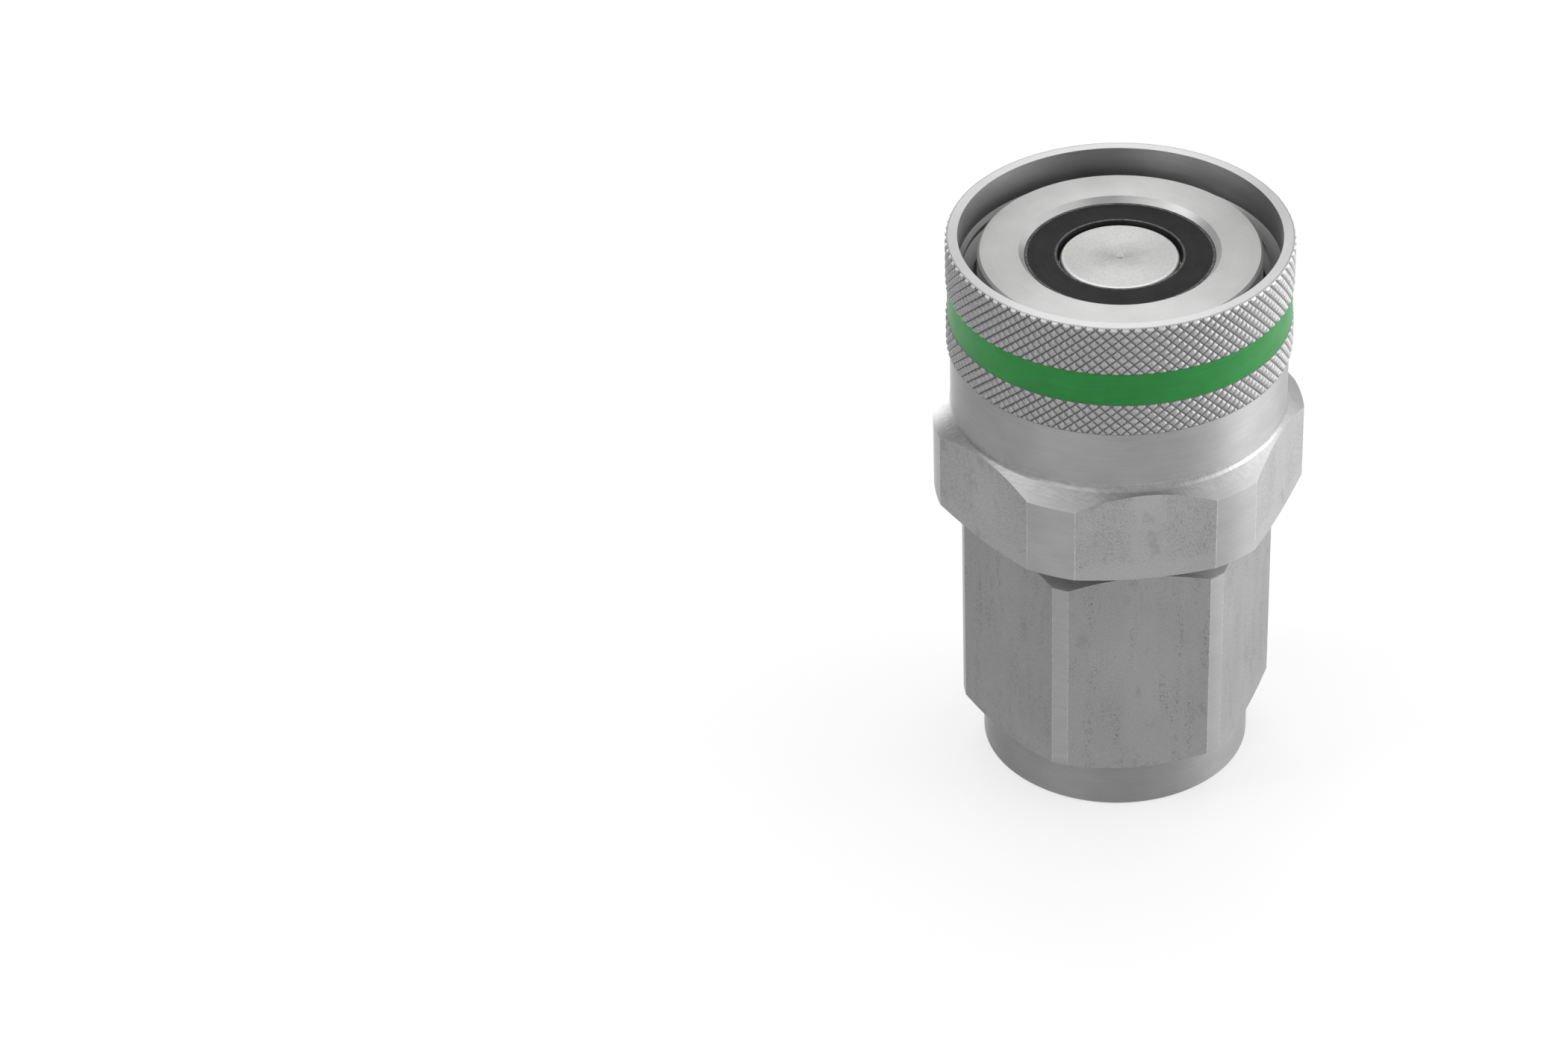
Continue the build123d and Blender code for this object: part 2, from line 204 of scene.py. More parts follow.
def knurl_tree():
    """Geometry nodes for one knurled band: diamonds on a flat strip, rolled up into a shell."""
    tree = bpy.data.node_groups.new("Diamond knurl", "GeometryNodeTree")
    tree.interface.new_socket("Geometry", in_out="OUTPUT", socket_type="NodeSocketGeometry")
    for label, kind in (
        ("Seat radius", "NodeSocketFloat"),
        ("Root radius", "NodeSocketFloat"),
        ("Crest", "NodeSocketFloat"),
        ("Around", "NodeSocketInt"),
        ("Rows", "NodeSocketFloat"),
        ("Lean", "NodeSocketFloat"),
        ("Low", "NodeSocketFloat"),
        ("High", "NodeSocketFloat"),
        ("Low bevel", "NodeSocketFloat"),
        ("High bevel", "NodeSocketFloat"),
        ("Finish", "NodeSocketMaterial"),
    ):
        tree.interface.new_socket(label, in_out="INPUT", socket_type=kind)
    given = node(tree, "NodeGroupInput").outputs

    strip = diamond_strip(tree, given)
    shell = rolled_shell(tree, given, strip)
    height = diamond_height(tree, given)
    place = node(tree, "GeometryNodeInputPosition")
    level = node(tree, "ShaderNodeSeparateXYZ", (place,)).outputs[2]
    outward = node(tree, "ShaderNodeVectorMath", (place, (1, 1, 0)), operation="MULTIPLY")
    outward = node(tree, "ShaderNodeVectorMath", (outward,), operation="NORMALIZE")
    radius = node(tree, "ShaderNodeMath", (given["Root radius"], height), operation="ADD")
    outward = node(tree, "ShaderNodeVectorMath", {0: outward, "Scale": radius}, operation="SCALE")
    upward = node(tree, "ShaderNodeCombineXYZ", {2: level})
    target = node(tree, "ShaderNodeVectorMath", (outward, upward), operation="ADD")

    skin = node(tree, "GeometryNodeExtrudeMesh",
                {"Mesh": shell, "Offset Scale": 0.0, "Individual": False}, mode="FACES")
    raised = node(tree, "GeometryNodeSetPosition",
                  {"Geometry": skin, "Selection": skin.outputs["Top"], "Position": target})
    seat = node(tree, "GeometryNodeFlipFaces", {"Mesh": shell})
    both = node(tree, "GeometryNodeJoinGeometry", ([raised, seat],))
    closed = node(tree, "GeometryNodeMergeByDistance", {"Geometry": both, "Distance": WELD})
    bend = node(tree, "GeometryNodeInputMeshEdgeAngle").outputs["Unsigned Angle"]
    crease = node(tree, "FunctionNodeCompare", (bend, CREASE), operation="GREATER_THAN")
    smooth = node(tree, "GeometryNodeSetShadeSmooth",
                  {"Geometry": closed, "Shade Smooth": True}, domain="FACE")
    creased = node(tree, "GeometryNodeSetShadeSmooth",
                   {"Geometry": smooth, "Selection": crease, "Shade Smooth": False}, domain="EDGE")
    real = node(tree, "GeometryNodeRealizeInstances", {"Geometry": creased})
    finished = node(tree, "GeometryNodeSetMaterial",
                    {"Geometry": real, "Material": given["Finish"]})
    node(tree, "NodeGroupOutput", (finished,))
    return tree


def diamond_strip(tree, given):
    """A flat strip of square cells set on their corners, one unit of X and Y for each diamond."""
    side, points = 1 / sqrt(2), CELL_FACES + 1
    cell = node(tree, "GeometryNodeMeshGrid",
                {"Size X": side, "Size Y": side, "Vertices X": points, "Vertices Y": points})
    turned = node(tree, "GeometryNodeTransform", {"Geometry": cell, "Rotation": (0, 0, pi / 4)})
    whole = node(tree, "ShaderNodeMath", (given["Rows"],), operation="CEIL")
    rows = node(tree, "ShaderNodeMath", (whole, 1.0), operation="ADD")
    last = node(tree, "ShaderNodeMath", (given["Around"], 1.0), operation="SUBTRACT")
    centres = node(tree, "GeometryNodeMeshGrid", {
        "Size X": last, "Size Y": whole, "Vertices X": given["Around"], "Vertices Y": rows})
    middle = node(tree, "ShaderNodeMath", (whole, 0.5), operation="MULTIPLY")
    half = node(tree, "ShaderNodeMath", (last, 0.5), operation="MULTIPLY")
    corner = node(tree, "ShaderNodeCombineXYZ", (half, middle))
    first = node(tree, "GeometryNodeTransform", {"Geometry": centres, "Translation": corner})
    second = node(tree, "GeometryNodeTransform",
                  {"Geometry": first, "Translation": (0.5, 0.5, 0)})
    spots = node(tree, "GeometryNodeJoinGeometry", ([first, second],))
    cells = node(tree, "GeometryNodeInstanceOnPoints", {"Points": spots, "Instance": turned})
    real = node(tree, "GeometryNodeRealizeInstances", {"Geometry": cells})
    return node(tree, "GeometryNodeMergeByDistance", {"Geometry": real, "Distance": SLACK})


def rolled_shell(tree, given, strip):
    """Cut the strip at the band's two levels and roll it up at the seat radius."""
    place = node(tree, "GeometryNodeInputPosition")
    apart = node(tree, "ShaderNodeSeparateXYZ", (place,)).outputs
    under = node(tree, "FunctionNodeCompare", (apart[1], -SLACK), operation="LESS_THAN")
    limit = node(tree, "ShaderNodeMath", (given["Rows"], SLACK), operation="ADD")
    over = node(tree, "FunctionNodeCompare", (apart[1], limit), operation="GREATER_THAN")
    outside = node(tree, "FunctionNodeBooleanMath", (under, over), operation="OR")
    cut = node(tree, "GeometryNodeDeleteGeometry",
               {"Geometry": strip, "Selection": outside}, domain="FACE")

    leant = node(tree, "ShaderNodeMath", (apart[1], given["Lean"], apart[0]),
                 operation="MULTIPLY_ADD")
    share = node(tree, "ShaderNodeMath", (leant, given["Around"]), operation="DIVIDE")
    angle = node(tree, "ShaderNodeMath", (share, 2 * pi), operation="MULTIPLY")
    east = node(tree, "ShaderNodeMath", (angle,), operation="COSINE")
    north = node(tree, "ShaderNodeMath", (angle,), operation="SINE")
    east = node(tree, "ShaderNodeMath", (east, given["Seat radius"]), operation="MULTIPLY")
    north = node(tree, "ShaderNodeMath", (north, given["Seat radius"]), operation="MULTIPLY")
    level = node(tree, "ShaderNodeMapRange",
                 (apart[1], 0.0, given["Rows"], given["Low"], given["High"]), clamp=True)
    rolled = node(tree, "ShaderNodeCombineXYZ", (east, north, level))
    bent = node(tree, "GeometryNodeSetPosition", {"Geometry": cut, "Position": rolled})
    return node(tree, "GeometryNodeMergeByDistance", {"Geometry": bent, "Distance": WELD})


def diamond_height(tree, given):
    """Height of the knurl at a point: a blunt dome in each diamond, cut down by the end bevels."""
    place = node(tree, "GeometryNodeInputPosition")
    apart = node(tree, "ShaderNodeSeparateXYZ", (place,)).outputs
    angle = node(tree, "ShaderNodeMath", (apart[1], apart[0]), operation="ARCTAN2")
    turn = node(tree, "ShaderNodeMath", (angle, 2 * pi), operation="DIVIDE")
    along = node(tree, "ShaderNodeMath", (turn, given["Around"]), operation="MULTIPLY")
    up = node(tree, "ShaderNodeMapRange",
              (apart[2], given["Low"], given["High"], 0.0, given["Rows"]))
    shift = node(tree, "ShaderNodeMath", (up, given["Lean"]), operation="MULTIPLY")
    along = node(tree, "ShaderNodeMath", (along, shift), operation="SUBTRACT")
    walls = []
    for family in ("ADD", "SUBTRACT"):
        slant = node(tree, "ShaderNodeMath", (along, up), operation=family)
        part = node(tree, "ShaderNodeMath", (slant,), operation="FRACT")
        part = node(tree, "ShaderNodeMath", (part, 0.5), operation="SUBTRACT")
        part = node(tree, "ShaderNodeMath", (part,), operation="ABSOLUTE")
        walls.append(node(tree, "ShaderNodeMath", (part, 2.0), operation="MULTIPLY"))
    inside = node(tree, "ShaderNodeMath", walls, operation="MINIMUM")
    short = node(tree, "ShaderNodeMath", (1.0, inside), operation="SUBTRACT")
    short = node(tree, "ShaderNodeMath", (short, DOME_POWER), operation="POWER")
    dome = node(tree, "ShaderNodeMath", (1.0, short), operation="SUBTRACT")
    height = node(tree, "ShaderNodeMath", (dome, given["Crest"]), operation="MULTIPLY")
    rise = node(tree, "ShaderNodeMath", (apart[2], given["Low"]), operation="SUBTRACT")
    drop = node(tree, "ShaderNodeMath", (given["High"], apart[2]), operation="SUBTRACT")
    for distance, bevel in ((rise, given["Low bevel"]), (drop, given["High bevel"])):
        limit = node(tree, "ShaderNodeMath", (distance, bevel), operation="MULTIPLY")
        height = node(tree, "ShaderNodeMath", (height, limit), operation="MINIMUM")
    return height


def knurled_band(name, tree, values):
    """Run the knurl's nodes once and keep the result as a plain mesh that turns with the nut."""
    holder = bpy.data.objects.new(name + "_nodes", bpy.data.meshes.new(name + "_nodes"))
    bpy.context.scene.collection.objects.link(holder)
    modifier = holder.modifiers.new("Diamond knurl", "NODES")
    modifier.node_group = tree
    for item in tree.interface.items_tree:
        if item.in_out == "INPUT":
            modifier[item.identifier] = values[item.name]
    bpy.context.view_layer.update()
    evaluated = holder.evaluated_get(bpy.context.evaluated_depsgraph_get())
    mesh = bpy.data.meshes.new_from_object(evaluated)
    mesh.name = name
    bpy.data.objects.remove(holder)
    band = bpy.data.objects.new(name, mesh)
    bpy.context.scene.collection.objects.link(band)
    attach(band, "nut")


class COUPLING_OT_knurl(bpy.types.Operator):
    """Add the two bands of diamond knurling on the nut"""

    bl_idname = "coupling.knurl"
    bl_label = "Add knurling"

    def execute(self, context):
        sizes = context.scene.coupling_knurl
        values = {
            "Seat radius": sizes.seat_radius,
            "Root radius": sizes.root_radius,
            "Crest": sizes.crest,
            "Around": round(2 * pi * (sizes.root_radius + sizes.crest) / sizes.diamond),
            "Lean": sizes.lean,
            "Finish": knurled_zinc(context.scene.coupling_colours.knurled, sizes),
        }
        lower = {
            "Rows": sizes.low_rows,
            "Low": BAND_LOW - sizes.low_band_height,
            "High": BAND_LOW,
            "Low bevel": BEVEL,
            "High bevel": UPRIGHT,
        }
        upper = {
            "Rows": sizes.high_rows,
            "Low": BAND_HIGH,
            "High": NUT_TOP - sizes.rim_land,
            "Low bevel": UPRIGHT,
            "High bevel": BEVEL,
        }
        tree = knurl_tree()
        knurled_band("knurl_lower_band", tree, values | lower)
        knurled_band("knurl_upper_band", tree, values | upper)
        return {"FINISHED"}


# ---------------------------------------------------------------- patterns


def new_material(name):
    """A material without nodes; returns it and its tree."""
    material = bpy.data.materials.new(name)
    material.use_nodes = True
    material.node_tree.nodes.clear()
    return material, material.node_tree


def place_in_mm(tree):
    """The point's place on the piece, in millimetres."""
    place = node(tree, "ShaderNodeTexCoord").outputs["Object"]
    return node(tree, "ShaderNodeVectorMath", {0: place, "Scale": 1 / MM}, operation="SCALE")


def from_axis(tree, place):
    """The point's distance from the coupling's axis, in mm."""
    flat = node(tree, "ShaderNodeVectorMath", (place, (1, 1, 0)), operation="MULTIPLY")
    return node(tree, "ShaderNodeVectorMath", (flat,), operation="LENGTH").outputs["Value"]


def mottling(tree, place, size, detail=2.0, roughness=0.5, stretch=(1, 1, 1)):
    """Soft spots of about the given size in mm, as a value round 0.5, longer by the stretch."""
    shares = tuple(1 / (size * along) for along in stretch)
    scaled = node(tree, "ShaderNodeVectorMath", (place, shares), operation="MULTIPLY")
    noise = {"Vector": scaled, "Scale": 1.0, "Detail": detail, "Roughness": roughness}
    return node(tree, "ShaderNodeTexNoise", noise).outputs["Fac"]


def specks(tree, place, spacing):
    """Small round pits at about the given spacing in mm: 1 in a pit and 0 between them."""
    cells = node(tree, "ShaderNodeTexVoronoi", {"Vector": place, "Scale": 1 / spacing})
    return node(tree, "ShaderNodeMapRange", (cells.outputs["Distance"], 0.1, 0.55, 1.0, 0.0))


def lathe_rings(tree, place, spacing):
    """Fine tool marks of turning round the axis, spaced in mm, as a value round 0.5."""
    face_feed = 1.7  # the rings stand closer by this on a face than on a wall
    fading = 0.12  # share of the place across the axis that makes each ring fade and return
    apart = node(tree, "ShaderNodeSeparateXYZ", (place,)).outputs
    radius = from_axis(tree, place)
    feed = node(tree, "ShaderNodeMath", (radius, face_feed, apart[2]), operation="MULTIPLY_ADD")
    feed = node(tree, "ShaderNodeMath", (feed, 1 / spacing), operation="MULTIPLY")
    east = node(tree, "ShaderNodeMath", (apart[0], fading), operation="MULTIPLY")
    north = node(tree, "ShaderNodeMath", (apart[1], fading), operation="MULTIPLY")
    marks = node(tree, "ShaderNodeCombineXYZ", (east, north, feed))
    noise = {"Vector": marks, "Scale": 1.0, "Detail": 2.0, "Roughness": 0.6}
    return node(tree, "ShaderNodeTexNoise", noise).outputs["Fac"]


def brush_marks(tree, place):
    """Short crossed brush marks about 0.2 mm wide and 3 mm long, as a value round 0.5."""
    turned = node(tree, "ShaderNodeVectorRotate", {"Vector": place, "Angle": radians(35)},
                  rotation_type="Z_AXIS")
    first = mottling(tree, turned, 0.2, stretch=(14, 1, 4))
    second = mottling(tree, place, 0.25, stretch=(10, 1.5, 4))
    return node(tree, "ShaderNodeMix", {"Factor": 0.4, 2: first, 3: second})


def hexagon_place(tree, place):
    """A point's distance along the nearest flat and its distance out from the axis, in mm."""
    quarter = 1.5  # a quarter turn in sixths, because a flat faces -Y
    apart = node(tree, "ShaderNodeSeparateXYZ", (place,)).outputs
    radius = from_axis(tree, place)
    angle = node(tree, "ShaderNodeMath", (apart[1], apart[0]), operation="ARCTAN2")
    sixth = node(tree, "ShaderNodeMath", (angle, 3 / pi, quarter), operation="MULTIPLY_ADD")
    whole = node(tree, "ShaderNodeMath", (sixth,), operation="ROUND")
    part = node(tree, "ShaderNodeMath", (sixth, whole), operation="SUBTRACT")
    turn = node(tree, "ShaderNodeMath", (part, pi / 3), operation="MULTIPLY")
    sine = node(tree, "ShaderNodeMath", (turn,), operation="SINE")
    cosine = node(tree, "ShaderNodeMath", (turn,), operation="COSINE")
    along = node(tree, "ShaderNodeMath", (radius, sine), operation="MULTIPLY")
    across = node(tree, "ShaderNodeMath", (radius, cosine), operation="MULTIPLY")
    return along, across


def across_rings(tree, place):
    """The direction along the surface and across the rings, in which highlights spread."""
    about = node(tree, "ShaderNodeVectorMath", ((0, 0, 1), place), operation="CROSS_PRODUCT")
    outward = node(tree, "ShaderNodeNewGeometry").outputs["Normal"]
    across = node(tree, "ShaderNodeVectorMath", (outward, about), operation="CROSS_PRODUCT")
    return node(tree, "ShaderNodeVectorMath", (across,), operation="NORMALIZE")


def steel(tree, tint, shade, roughness, height, depth, spread=None):
    """Metal: its tint times a shade, bumps of the depth in mm, and highlights that may spread."""
    colour = node(tree, "ShaderNodeMix", {"Factor": 1.0, 6: tint, 7: shade},
                  data_type="RGBA", blend_type="MULTIPLY").outputs[2]
    bump = node(tree, "ShaderNodeBump",
                {"Strength": 1.0, "Distance": depth * MM, "Height": height})
    inputs = {"Base Color": colour, "Metallic": 1.0, "Roughness": roughness, "Normal": bump}
    if spread is not None:
        inputs.update({"Anisotropic": spread, "Tangent": across_rings(tree, place_in_mm(tree))})
    surface = node(tree, "ShaderNodeBsdfPrincipled", inputs)
    node(tree, "ShaderNodeOutputMaterial", {"Surface": surface})


# ---------------------------------------------------------------- finishes

TURNED_ROUGHNESS = 0.45
FLAT_ROUGHNESS = 0.62
RING_SPREAD = 0.7  # how far highlights spread across the rings of turned steel


def drawn_skin(tree, place, along, low, pitting):
    """Shade and height of the drawn bar's skin: dark pits 0.2 mm across, fewer where rubbed."""
    pit_spacing, pit_strength = 0.34, 0.24
    size = node(tree, "ShaderNodeMapRange", (mottling(tree, place, 0.7), 0.35, 0.6, 0.3, 1.3))
    pits = specks(tree, place, pit_spacing)
    pits = node(tree, "ShaderNodeMath", (pits, size), operation="MULTIPLY")
    grain = mottling(tree, place, 0.25, detail=1.0)
    grain = node(tree, "ShaderNodeMapRange", (grain, 0.3, 0.7, 0.9, 1.07))

    # Rubbed smooth in a band about 5 mm wide down the middle and 3 mm high along the lower end.
    wobble = node(tree, "ShaderNodeMath", (mottling(tree, place, 2.5), 3.0), operation="MULTIPLY")
    rub_centre = 0.3
    aside = node(tree, "ShaderNodeMath", (along, rub_centre), operation="SUBTRACT")
    aside = node(tree, "ShaderNodeMath", (aside,), operation="ABSOLUTE")
    aside = node(tree, "ShaderNodeMath", (aside, wobble), operation="ADD")
    middle = node(tree, "ShaderNodeMapRange", (aside, 3.3, 4.6, 0.0, 1.0))
    level = node(tree, "ShaderNodeSeparateXYZ", (place,)).outputs[2]
    over = node(tree, "ShaderNodeMath", (level, low / MM), operation="SUBTRACT")
    over = node(tree, "ShaderNodeMath", (over, wobble), operation="ADD")
    lower = node(tree, "ShaderNodeMapRange", (over, 4.0, 5.2, 0.0, 1.0))
    patches = mottling(tree, place, 5.0, stretch=(1, 1, 2))
    patches = node(tree, "ShaderNodeMapRange", (patches, 0.3, 0.6, 0.45, 1.0))
    rough = node(tree, "ShaderNodeMath", (middle, lower), operation="MULTIPLY")
    rough = node(tree, "ShaderNodeMath", (rough, patches), operation="MULTIPLY")
    rough = node(tree, "ShaderNodeMapRange", (rough, 0.0, 1.0, 0.15, 1.0))

    # Where the skin is pitted less, the pits stand in dark streaks along the bar.
    streaks = mottling(tree, place, 1.6, detail=3.0, stretch=(1, 1, 7))
    streaks = node(tree, "ShaderNodeMapRange", (streaks, 0.5, 0.66, 0.0, 1.8))
    depth = node(tree, "ShaderNodeMix", {"Factor": pitting, 2: streaks, 3: rough})
    depth = node(tree, "ShaderNodeMath", (depth, pit_strength), operation="MULTIPLY")
    hollow = node(tree, "ShaderNodeMath", (pits, depth), operation="MULTIPLY")
    height = node(tree, "ShaderNodeMath", (1.0, hollow), operation="SUBTRACT")

    # Handling leaves soft darker smears a few mm long.
    smear = mottling(tree, place, 3.0, detail=5.0, roughness=0.6, stretch=(1, 1, 1.6))
    smear = node(tree, "ShaderNodeMapRange", (smear, 0.6, 0.7, 1.0, 0.86))
    shade = node(tree, "ShaderNodeMath", (height, grain), operation="MULTIPLY")
    shade = node(tree, "ShaderNodeMath", (shade, smear), operation="MULTIPLY")
    smooth = node(tree, "ShaderNodeMath", (1.0, rough), operation="SUBTRACT")
    shade = node(tree, "ShaderNodeMath", (smooth, 0.04, shade), operation="MULTIPLY_ADD")
    return shade, height


def turned_skin(tree, place, low, cone, corner_highlight):
    """Shade and height of the turned parts: fine rings, and brush marks on the cone."""
    cone_low, cone_high = cone
    level = node(tree, "ShaderNodeSeparateXYZ", (place,)).outputs[2]
    over = node(tree, "ShaderNodeMath", (level, cone_low / MM), operation="GREATER_THAN")
    under = node(tree, "ShaderNodeMath", (level, cone_high / MM), operation="LESS_THAN")
    on_cone = node(tree, "ShaderNodeMath", (over, under), operation="MULTIPLY")

    rings = lathe_rings(tree, place, 0.22)
    ring_shade = node(tree, "ShaderNodeMapRange", (rings, 0.3, 0.7, 0.85, 0.92))
    stains = mottling(tree, place, 2.5, detail=4.0, stretch=(2, 2, 1))
    stains = node(tree, "ShaderNodeMapRange", (stains, 0.35, 0.65, 0.97, 1.03))

    # Painted highlight: from 2 mm over its lower end, the hexagon's turned corners are lightened
    # by the corner highlight, leaving the foot darker.
    foot = low / MM
    painted_corner_highlight = node(tree, "ShaderNodeMapRange", (level, foot, foot + 2.0, 0.0, corner_highlight))
    ring_shade = node(tree, "ShaderNodeMath", (ring_shade, stains, painted_corner_highlight), operation="MULTIPLY_ADD")

    marks = brush_marks(tree, place)
    mark_shade = node(tree, "ShaderNodeMapRange", (marks, 0.35, 0.65, 0.8, 1.0))
    shallow = node(tree, "ShaderNodeMath", (rings, 0.35), operation="MULTIPLY")
    shade = node(tree, "ShaderNodeMix", {"Factor": on_cone, 2: ring_shade, 3: mark_shade})
    height = node(tree, "ShaderNodeMix", {"Factor": on_cone, 2: shallow, 3: marks})
    return shade, height


def plated_bar(name, colour, half_flats, corner, low, cone, pitting, corner_highlight):
    """Cold-drawn hexagon bar, turned and zinc plated: speckled dull flats, smooth turned parts.

    The sizes are half the width across flats, the radius of the turned corners, and the levels
    of the hexagon's lower end and of the cone's two ends, in metres.
    """
    material, tree = new_material(name)
    place = place_in_mm(tree)
    level = node(tree, "ShaderNodeSeparateXYZ", (place,)).outputs[2]
    along, across = hexagon_place(tree, place)
    flats = half_flats / MM
    half_width = sqrt((corner / MM) ** 2 - flats ** 2)
    drawn = node(tree, "ShaderNodeMath", (across, flats, 0.02), operation="COMPARE")
    flat_shade, flat_height = drawn_skin(tree, place, along, low, pitting)
    round_shade, round_height = turned_skin(tree, place, low, cone, corner_highlight)
    shade = node(tree, "ShaderNodeMix", {"Factor": drawn, 2: round_shade, 3: flat_shade})
    height = node(tree, "ShaderNodeMix", {"Factor": drawn, 2: round_height, 3: flat_height})
    cloud = mottling(tree, place, 14.0, detail=3.0)
    cloud = node(tree, "ShaderNodeMapRange", (cloud, 0.3, 0.7, 0.95, 1.05))
    shade = node(tree, "ShaderNodeMath", (shade, cloud), operation="MULTIPLY")

    # Painted highlight: thin broken lines along the edges of the flats, 0.15 mm wide, are
    # lightened for the glint of their small rounded edges.
    side = node(tree, "ShaderNodeMath", (along,), operation="ABSOLUTE")
    edge = node(tree, "ShaderNodeMath", (side, half_width, 0.08), operation="COMPARE")
    near = node(tree, "ShaderNodeMath", (across, flats, 0.12), operation="COMPARE")
    edge = node(tree, "ShaderNodeMath", (edge, near), operation="MULTIPLY")
    edge_highlight = node(tree, "ShaderNodeMapRange", (mottling(tree, place, 0.6), 0.35, 0.6, 0.1, 0.34))
    shade = node(tree, "ShaderNodeMath", (edge, edge_highlight, shade), operation="MULTIPLY_ADD")

    # Painted highlight: the rim's upward face is lightened for the light it catches from above.
    face = NUT_TOP / MM - 0.05
    rim = node(tree, "ShaderNodeMath", (level, face), operation="GREATER_THAN")
    shade = node(tree, "ShaderNodeMath", (rim, 0.38, shade), operation="MULTIPLY_ADD")

    # Teal stains of the plating bath stay in the corner over the foot, about 1 mm across.
    foot = BODY_HEXAGON_LOW / MM
    stain = mottling(tree, place, 1.2, detail=4.0, roughness=0.7)
    stain = node(tree, "ShaderNodeMapRange", (stain, 0.56, 0.68, 0.0, 0.4))
    over = node(tree, "ShaderNodeMapRange", (level, foot - 1.4, foot - 0.9, 0.0, 1.0))
    under = node(tree, "ShaderNodeMapRange", (level, foot, foot + 2.5, 1.0, 0.0))
    shoulder = node(tree, "ShaderNodeMath", (over, under), operation="MULTIPLY")
    stain = node(tree, "ShaderNodeMath", (stain, shoulder), operation="MULTIPLY")
    teal = (*linear("#3F6F72"), 1)
    tint = node(tree, "ShaderNodeMix", {"Factor": stain, 6: (*colour, 1), 7: teal},
                data_type="RGBA").outputs[2]
    roughness = node(tree, "ShaderNodeMix",
                     {"Factor": drawn, 2: TURNED_ROUGHNESS, 3: FLAT_ROUGHNESS})
    spread = node(tree, "ShaderNodeMix", {"Factor": drawn, 2: RING_SPREAD, 3: 0.0})
    steel(tree, tint, shade, roughness, height, depth=0.03, spread=spread)
    return material


def knurled_zinc(colour, sizes):
    """Rolled knurling, zinc plated: satin crests, and painted shade darkening the grooves."""
    material, tree = new_material("Knurled zinc plated steel")
    place = place_in_mm(tree)
    radius = from_axis(tree, place)
    root = sizes.root_radius / MM
    # Painted shade: the grooves are darkened towards their roots, as shade falls in them.
    painted_groove_shade = node(tree, "ShaderNodeMapRange", (radius, root - 0.02, root + 0.17, 0.3, 1.0))
    grain = mottling(tree, place, 0.3, roughness=0.6)
    shade = node(tree, "ShaderNodeMapRange", (grain, 0.3, 0.7, 0.78, 1.12))
    shade = node(tree, "ShaderNodeMath", (shade, painted_groove_shade), operation="MULTIPLY")

    # Painted highlight: where the rim's bevel cuts the crests off, they are lightened like the
    # rim's face, so the rim ends in a scalloped bright edge.
    level = node(tree, "ShaderNodeSeparateXYZ", (place,)).outputs[2]
    outer = node(tree, "ShaderNodeMath", (radius, root), operation="MAXIMUM")
    reach = node(tree, "ShaderNodeMath", (level, outer), operation="ADD")
    bevel = root + (NUT_TOP - sizes.rim_land) / MM
    cut = node(tree, "ShaderNodeMapRange", (reach, bevel - 0.12, bevel - 0.04, 0.0, 0.55))
    shade = node(tree, "ShaderNodeMath", (shade, cut), operation="ADD")
    steel(tree, (*colour, 1), shade, FLAT_ROUGHNESS, grain, depth=0.02)
    return material


def turned_steel(name, colour, roughness):
    """Fine turned steel, bright plated: even satin with faint rings about the axis."""
    material, tree = new_material(name)
    place = place_in_mm(tree)
    rings = lathe_rings(tree, place, 0.18)
    shade = node(tree, "ShaderNodeMapRange", (rings, 0.3, 0.7, 0.97, 1.03))
    fine = node(tree, "ShaderNodeMapRange", (mottling(tree, place, 0.25), 0.3, 0.7, 0.97, 1.03))
    shade = node(tree, "ShaderNodeMath", (shade, fine), operation="MULTIPLY")
    cloud = mottling(tree, place, 5.0, detail=4.0)
    cloud = node(tree, "ShaderNodeMapRange", (cloud, 0.3, 0.7, 0.95, 1.04))
    shade = node(tree, "ShaderNodeMath", (shade, cloud), operation="MULTIPLY")
    height = node(tree, "ShaderNodeMath", (rings, 0.4), operation="MULTIPLY")
    steel(tree, (*colour, 1), shade, roughness, height, depth=0.01, spread=RING_SPREAD)
    return material


def disc_steel(colour):
    """The centre disc: mottled satin plating, a darker smudge round the pip and a painted
    highlight on its edge.
    """
    material, tree = new_material("Mottled turned steel")
    place = place_in_mm(tree)
    radius = from_axis(tree, place)
    grain = mottling(tree, place, 0.4, detail=3.0, roughness=0.7)
    shade = node(tree, "ShaderNodeMapRange", (grain, 0.3, 0.7, 0.88, 1.08))
    drift = mottling(tree, place, 2.5, detail=4.0)
    drift = node(tree, "ShaderNodeMath", (drift, 5.0, radius), operation="MULTIPLY_ADD")
    smudge = node(tree, "ShaderNodeMapRange", (drift, 3.0, 7.0, 0.78, 1.0))
    shade = node(tree, "ShaderNodeMath", (shade, smudge), operation="MULTIPLY")

    # The pip's rim, 0.3 to 0.6 mm from the axis, is lightened, and the disc's rounded edge gets a
    # painted highlight.
    inner = node(tree, "ShaderNodeMapRange", (radius, 0.3, 0.38, 0.0, 1.0))
    outer = node(tree, "ShaderNodeMapRange", (radius, 0.5, 0.6, 1.0, 0.0))
    pip = node(tree, "ShaderNodeMath", (inner, outer), operation="MULTIPLY")
    shade = node(tree, "ShaderNodeMath", (pip, 0.35, shade), operation="MULTIPLY_ADD")
    rim = DISC_RADIUS / MM
    edge = node(tree, "ShaderNodeMapRange", (radius, rim - 0.6, rim - 0.4, 0.0, 0.25))
    shade = node(tree, "ShaderNodeMath", (shade, edge), operation="ADD")
    steel(tree, (*colour, 1), shade, roughness=0.48, height=grain, depth=0.008, spread=0.5)
    return material


